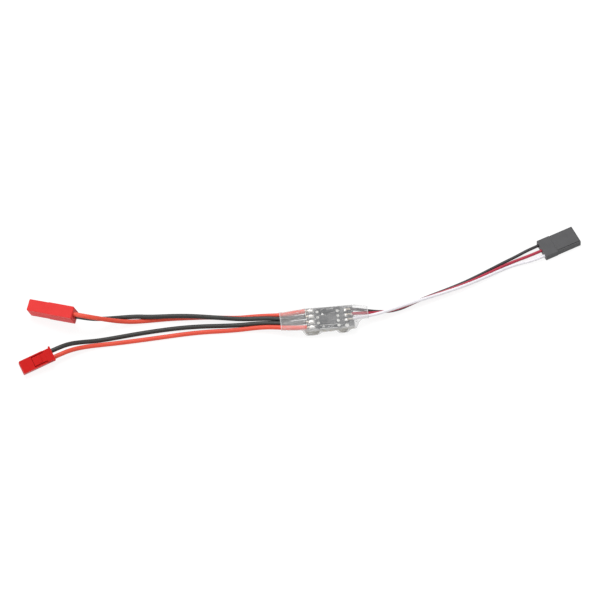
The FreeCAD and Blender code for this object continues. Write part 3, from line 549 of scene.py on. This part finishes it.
def melted(node, voxel_mm, passes):
    """A copy of a node's joints as one smooth skin, which takes its place."""
    mesh = NODES[node].data.copy()
    mesh.name = node + "_melted"
    piece = bpy.data.objects.new(node + "_melted", mesh)
    mesh.materials.clear()
    mesh.materials.append(solder)
    skin = piece.modifiers.new("skin", "REMESH")
    skin.mode = "VOXEL"
    skin.voxel_size = voxel_mm * MM
    skin.use_smooth_shade = True
    flow = piece.modifiers.new("flow", "SMOOTH")
    flow.factor = 0.5
    flow.iterations = passes
    return stand_in(piece, node)


melted("power_solder_joints", 0.06, 8)
melted("servo_solder_joints", 0.05, 6)
print("eight solder joints")

# %% [markdown]
# ## Heat-shrink film
# Clear polyolefin tube is slipped over the finished board and heated until it grips. It ends up as
# tight as a drum skin: in each cross-section it is the shortest loop round what is inside, and along
# its length it bridges from one high spot to the next. So the tube starts as plain rings, and each
# ring is then pulled in to that shortest loop. Rays from all round find what is inside. For every
# direction, the furthest that any of those points reaches says where the film is held off.

# %% Find what the film grips
FILM_MM = 0.16
FILM_GAP_MM = 0.16
RINGS = 200
SIDES = 120
RAY_REACH = 12 * MM
HEART_Y_MM = 0.8  # a line through the middle of the bundle, which the rays aim at
HEART_Z_MM = 3.1
GRIPPED = ["circuit_board", "power_solder_joints", "servo_solder_joints", "bridge_chip_1",
           "bridge_chip_2", "bridge_leads_1", "bridge_leads_2", "control_chip", "regulator",
           "chip_capacitors", "battery_wire_red", "battery_wire_black", "motor_wire_black",
           "motor_wire_red", "servo_wire_black", "servo_wire_red", "servo_wire_white"]

gripped = bmesh.new()
for piece in capacitors + [NODES[name] for name in GRIPPED]:
    gripped.from_mesh(piece.data)
inside_tree = BVHTree.FromBMesh(gripped)
gripped.free()

film_low, film_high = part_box("heat_shrink_sleeve")
board_end_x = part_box("circuit_board")[1].x
ANGLES = [2 * math.pi * i / SIDES for i in range(SIDES)]
OUTWARD = [Vector((0, math.cos(angle), math.sin(angle))) for angle in ANGLES]
ring_xs = [film_low.x + (film_high.x - film_low.x) * i / (RINGS - 1) for i in range(RINGS)]


def section(x):
    """At x: the middle of what is inside, and how far it reaches in each direction from the X axis."""
    heart = Vector((x, HEART_Y_MM * MM, HEART_Z_MM * MM))
    hits = []
    for out in OUTWARD:
        hit = inside_tree.ray_cast(heart + out * RAY_REACH, -out, RAY_REACH)[0]
        if hit is not None:
            hits.append(hit)
    middle = Vector((x, (min(h.y for h in hits) + max(h.y for h in hits)) / 2,
                     (min(h.z for h in hits) + max(h.z for h in hits)) / 2))
    return middle, [max(h.dot(out) for h in hits) for out in OUTWARD]


sections = [section(x) for x in ring_xs]
print("the film spans %.1f mm in %d sections" % ((film_high.x - film_low.x) / MM, len(sections)))

# %% [markdown]
# The reaches are smoothed along the tube: first the widest of the neighbours, then their average, so
# that the film never dips into what it grips. Past the board's receiver end the tube had less heat,
# so it narrows slowly there, slowest on the far side. The film itself then lies on the straight lines
# that those reaches set, and its distance from the middle at any angle is where the nearest line cuts.

# %% Smooth the reaches
HOLD_RINGS = 4
SMOOTHING_RINGS = 2  # twice this is HOLD_RINGS, so no average falls below what is gripped
TAPER_FAR = 0.13  # how much the film may come in for each step along, past the receiver end
TAPER_NEAR = 1.2


def neighbours(rows, i, count):
    """The rows from count before i to count after it."""
    return rows[max(0, i - count) : i + count + 1]


def averaged(rows):
    """Each ring's reaches become the average of its neighbours' reaches."""
    near = [neighbours(rows, i, SMOOTHING_RINGS) for i in range(RINGS)]
    return [[sum(row[k] for row in group) / len(group) for k in range(SIDES)] for group in near]


raw = [reach for middle, reach in sections]
wide = [[max(row[k] for row in neighbours(raw, i, HOLD_RINGS)) for k in range(SIDES)]
        for i in range(RINGS)]
for i in range(1, RINGS):
    if ring_xs[i] > board_end_x:
        step = ring_xs[i] - ring_xs[i - 1]
        for k, out in enumerate(OUTWARD):
            taper = TAPER_NEAR + (TAPER_FAR - TAPER_NEAR) * min(1.0, max(0.0, 2 * out.y))
            wide[i][k] = max(wide[i][k], wide[i - 1][k] - taper * step)
reaches = averaged(averaged(wide))
middles = []
for i in range(RINGS):
    group = [middle for middle, reach in neighbours(sections, i, SMOOTHING_RINGS)]
    middles.append(sum(group, Vector()) / len(group))


GRAZING = 0.05  # a line that runs this nearly along the ray never cuts it in time


def loop_radius(middle, reach, angle):
    """Distance from the middle to the film at an angle."""
    best = RAY_REACH
    for k, out in enumerate(OUTWARD):
        facing = math.cos(angle - ANGLES[k])
        if facing > GRAZING:
            best = min(best, (reach[k] - middle.dot(out)) / facing)
    return best + FILM_GAP_MM * MM


# %% Draw the tube
film = bmesh.new()
bmesh.ops.create_circle(film, segments=SIDES, radius=1.0)
rings = [list(film.verts)]
edge_loop = list(film.edges)
for _ in ring_xs[1:]:
    grown = bmesh.ops.extrude_edge_only(film, edges=edge_loop)["geom"]
    rings.append([part for part in grown if isinstance(part, bmesh.types.BMVert)])
    edge_loop = [part for part in grown if isinstance(part, bmesh.types.BMEdge)]
print(len(rings), "rings of", SIDES)

# %% [markdown]
# Each ring's corners go out along their own angle to the loop. At the two mouths the film has shrunk
# over nothing but wires, so it stays a little loose there and gathers into shallow pleats.

# %% Pull the rings in
MOUTH_MM = 3.5
LOOSE_MM = 0.15
PLEATS = 9
PLEAT_MM = 0.08
RIPPLE_MM = 0.07
RIPPLE_SIZE_MM = 2.2

for ring, x, middle, reach in zip(rings, ring_xs, middles, reaches):
    from_end = min(x - film_low.x, film_high.x - x) / (MOUTH_MM * MM)
    loose = max(0.0, 1.0 - from_end) ** 2
    centre = Vector((x, middle.y, middle.z))
    for vert in ring:
        angle = math.atan2(vert.co.y, vert.co.x)
        out = Vector((0, math.cos(angle), math.sin(angle)))
        radius = loop_radius(centre, reach, angle) + LOOSE_MM * MM * loose
        radius += PLEAT_MM * MM * loose * math.sin(PLEATS * angle + x / MM)
        ripple = noise.noise((centre + out * radius) / (RIPPLE_SIZE_MM * MM))
        vert.co = centre + out * (radius + RIPPLE_MM * MM * max(0.0, ripple))
        vert.co.z = max(vert.co.z, FILM_MM * MM / 2)
bmesh.ops.smooth_vert(film, verts=[v for v in film.verts if not v.is_boundary], factor=0.3,
                      use_axis_y=True, use_axis_z=True)
bmesh.ops.recalc_face_normals(film, faces=film.faces)
for face in film.faces:
    face.smooth = True
film_mesh = bpy.data.meshes.new("heat_shrink_film")
film.to_mesh(film_mesh)
film.free()
sleeve = bpy.data.objects.new("heat_shrink_film", film_mesh)
wall = sleeve.modifiers.new("wall", "SOLIDIFY")
wall.thickness = FILM_MM * MM
wall.offset = 0.0
stand_in(sleeve, "heat_shrink_sleeve")
print("film is", [round(d / MM, 1) for d in sleeve.dimensions], "mm")

# %% [markdown]
# ## Polyolefin
# The film is clear polyolefin, but shrinking leaves it a little milky. Seen edge-on it looks through more
# of itself, so it is denser there. The shader is a pale plastic whose alpha is low, higher towards the
# rim, and uneven as the haze is. Its glints are painted highlights in the alpha: broken white streaks, a
# band along the side folds above the board's face, and the cut ends.

# %% Heat-shrink material
HAZE_MM = 3.0
STREAK_MM = 0.9
GLARE_FROM_MM, GLARE_TO_MM = 4.2, 5.0  # out from the board's middle: a painted highlight band along the side folds
TOP_FROM_MM, TOP_TO_MM = 3.4, 4.1  # and only above the board's face
CUT_FROM_MM, CUT_TO_MM = 15.9, 16.3  # along from the middle: a painted highlight at the cut ends


def shrunk_polyolefin(name):
    """Clear shrunk film: thin white haze, streaky bump, denser at the rim; painted highlights as streaks,
    side-fold bands and cut ends.
    """
    material, tree = new_material(name)
    place = add_node(tree, "TexCoord").outputs["Object"]
    along = add_node(tree, "Mapping", {"Vector": place, "Scale": (0.5, 1.0, 1.0)})
    haze = add_node(tree, "TexNoise", {"Vector": along.outputs[0], "Scale": 1 / (HAZE_MM * MM),
                                       "Detail": 3.0})
    streak = add_node(tree, "TexNoise", {"Vector": along.outputs[0], "Scale": 1 / (STREAK_MM * MM),
                                         "Detail": 3.0})
    rim = add_node(tree, "LayerWeight", {"Blend": 0.35})
    body = add_node(tree, "MapRange", {"Value": haze.outputs[0], "From Min": NOISE_LOW,
                                       "From Max": NOISE_HIGH, "To Min": 0.07, "To Max": 0.17})
    edge = add_node(tree, "MapRange", {"Value": rim.outputs["Facing"], "From Min": 0.2, "From Max": 1.0,
                                       "To Min": 0.0, "To Max": 0.35})
    where = add_node(tree, "SeparateXYZ", {0: place})
    side = add_node(tree, "Math", {0: where.outputs["Y"]}, operation="ABSOLUTE")
    above = add_node(tree, "MapRange", {"Value": where.outputs["Z"], "From Min": TOP_FROM_MM * MM,
                                        "From Max": TOP_TO_MM * MM, "To Min": 0.0, "To Max": 0.3})
    # painted highlight: white haze along the side folds, above the board's face, stands in for the glare
    # there
    painted_fold_glare = add_node(tree, "MapRange", {"Value": side.outputs[0], "From Min": GLARE_FROM_MM * MM,
                                       "From Max": GLARE_TO_MM * MM, "To Min": 0.0,
                                       "To Max": above.outputs[0]})
    # painted highlights: broken white streaks in the haze stand in for the film's glints
    painted_streak_glints = add_node(tree, "MapRange", {"Value": streak.outputs[0], "From Min": 0.58, "From Max": 0.72,
                                         "To Min": 0.0, "To Max": 0.25})
    # painted highlight: the film whitens at its cut ends, where its edge catches the light
    ends = add_node(tree, "Math", {0: where.outputs["X"]}, operation="ABSOLUTE")
    cut = add_node(tree, "MapRange", {"Value": ends.outputs[0], "From Min": CUT_FROM_MM * MM,
                                      "From Max": CUT_TO_MM * MM, "To Min": 0.0, "To Max": 0.25})
    cover = add_node(tree, "Math", {0: body.outputs[0], 1: edge.outputs[0]}, operation="ADD")
    for extra in (painted_fold_glare, painted_streak_glints, cut):
        cover = add_node(tree, "Math", {0: cover.outputs[0], 1: extra.outputs[0]}, operation="ADD")
    relief = add_node(tree, "Bump", {"Height": streak.outputs[0], "Distance": 0.08 * MM, "Strength": 0.6})
    shader = add_node(tree, "BsdfPrincipled", {
        "Base Color": linear("#f4f3f3"), "Roughness": 0.16, "IOR": 1.5, "Alpha": cover.outputs[0],
        "Normal": relief.outputs[0]})
    add_node(tree, "OutputMaterial", {"Surface": shader.outputs[0]})
    return material


film_mesh.materials.append(shrunk_polyolefin("clear_shrunk_polyolefin"))

# %% [markdown]
# ## Table and light
# The set lies on a plain white table in even light. The floor shows as white to the camera, and
# still takes a soft shadow where something rests on it. One large lamp overhead shapes the round
# wires, a second from the left fills, and the world is a dim white all round.

# %% Floor
FLOOR_HALF = 0.9
FLOOR_GLOW = 0.86  # lifts the floor to white where it is seen, and leaves its shadow
FLOOR_SEEN = "#7c7c7c"
FLOOR_BOUNCE = "#dcdcdc"  # what the object's undersides get back from the floor


def seen_rays(tree):
    """1 on the rays that look at something, straight, mirrored or through glass, and 0 on the rest."""
    ray = add_node(tree, "LightPath")
    seen = add_node(tree, "Math", {0: ray.outputs["Is Camera Ray"], 1: ray.outputs["Is Glossy Ray"]},
                    operation="MAXIMUM")
    seen = add_node(tree, "Math", {0: seen.outputs[0], 1: ray.outputs["Is Transmission Ray"]},
                    operation="MAXIMUM")
    return seen.outputs[0]


def white_table(name):
    """A matt white table that reads as white and keeps its shadow."""
    material, tree = new_material(name)
    seen = seen_rays(tree)
    glow = add_node(tree, "Math", {0: seen, 1: FLOOR_GLOW}, operation="MULTIPLY")
    colour = add_node(tree, "Mix", {MIX_FACTOR: seen, MIX_DARK: linear(FLOOR_BOUNCE),
                                    MIX_LIGHT: linear(FLOOR_SEEN)}, data_type="RGBA")
    shader = add_node(tree, "BsdfPrincipled", {
        "Base Color": colour.outputs[MIX_COLOUR], "Roughness": 0.9, "Specular IOR Level": 0.1,
        "Emission Color": (1, 1, 1, 1), "Emission Strength": glow.outputs[0]})
    add_node(tree, "OutputMaterial", {"Surface": shader.outputs[0]})
    return material


table = bmesh.new()
bmesh.ops.create_grid(table, x_segments=1, y_segments=1, size=FLOOR_HALF)
table_mesh = bpy.data.meshes.new("table")
table.to_mesh(table_mesh)
table.free()
table_mesh.materials.append(white_table("white_table"))
floor = bpy.data.objects.new("table", table_mesh)
bpy.context.scene.collection.objects.link(floor)

# %% Lamps and world
WORLD_LIGHT = 0.5  # how strongly the white surround lights the set; seen directly, it is 1
world = bpy.data.worlds.new("studio")
world.use_nodes = True
world.node_tree.nodes.clear()
world_light = add_node(world.node_tree, "MapRange", {"Value": seen_rays(world.node_tree),
                                                     "To Min": WORLD_LIGHT, "To Max": 1.0})
surround = add_node(world.node_tree, "Background", {"Color": (1, 1, 1, 1),
                                                    "Strength": world_light.outputs[0]})
add_node(world.node_tree, "OutputWorld", {"Surface": surround.outputs[0]})
bpy.context.scene.world = world

AIM = Vector((-0.01, 0.008, 0.0))
LAMPS = [("overhead", (-0.15, 0.25, 0.75), 0.5, 3.9), ("left fill", (-0.85, -0.45, 0.35), 0.4, 2.8)]
for name, place, size, power in LAMPS:
    lamp = bpy.data.lights.new(name, "AREA")
    lamp.size = size
    lamp.energy = power
    holder = bpy.data.objects.new(name, lamp)
    holder.location = place
    holder.rotation_euler = (AIM - Vector(place)).to_track_quat("-Z", "Y").to_euler()
    bpy.context.scene.collection.objects.link(holder)
print("floor, world and two lamps")
